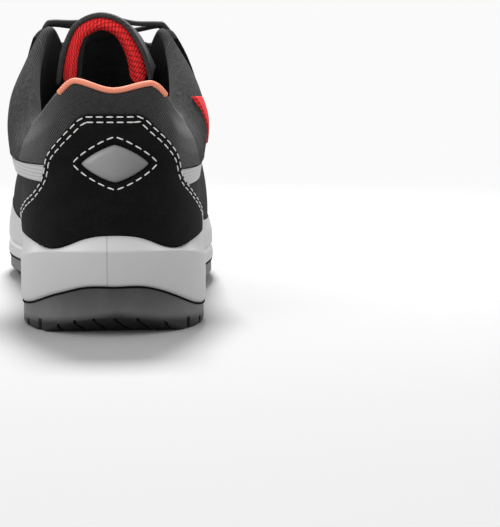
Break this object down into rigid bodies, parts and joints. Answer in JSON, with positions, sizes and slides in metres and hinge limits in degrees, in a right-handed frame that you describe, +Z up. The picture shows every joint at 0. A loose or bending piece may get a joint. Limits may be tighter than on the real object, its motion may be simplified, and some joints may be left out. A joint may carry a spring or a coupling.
{
  "type": "safety sneaker",
  "caption": "Low-cut safety sneaker for the right foot, with a padded collar, suede heel counter, laced tongue and cup sole.",
  "frame": {"origin": "middle of the heel's resting spot, on the floor", "axes": "+Y towards the toe, +Z up, -X towards the inner side of the foot"},
  "size_m": [0.1075, 0.2999, 0.1355],
  "materials": {
    "outsole": "matt",
    "midsole": "matt moulded foam",
    "insole": "plain",
    "upper": "mesh",
    "suede": "suede",
    "lens": "satin",
    "piping": "plain",
    "strip": "reflective",
    "tag": "woven",
    "tongue": "mesh",
    "lining": "coarse knit",
    "eyelet": "matt",
    "lace": "woven"
  },
  "bodies": {
    "root": {"outsole": "outsole", "midsole": "midsole", "insole": "insole", "upper": "upper", "heel_counter": "suede", "toe_cap": "suede", "eyestay": "suede", "heel_lens": "lens", "collar_piping": "piping", "side_strip_medial": "strip", "side_strip_lateral": "strip", "side_tag": "tag", "tongue": "tongue", "tongue_lining": "lining", "eyelet_medial_1": "eyelet", "eyelet_medial_2": "eyelet", "eyelet_medial_3": "eyelet", "eyelet_medial_4": "eyelet", "eyelet_medial_5": "eyelet", "eyelet_lateral_1": "eyelet", "eyelet_lateral_2": "eyelet", "eyelet_lateral_3": "eyelet", "eyelet_lateral_4": "eyelet", "eyelet_lateral_5": "eyelet", "lace": "lace"}
  },
  "joints": []
}
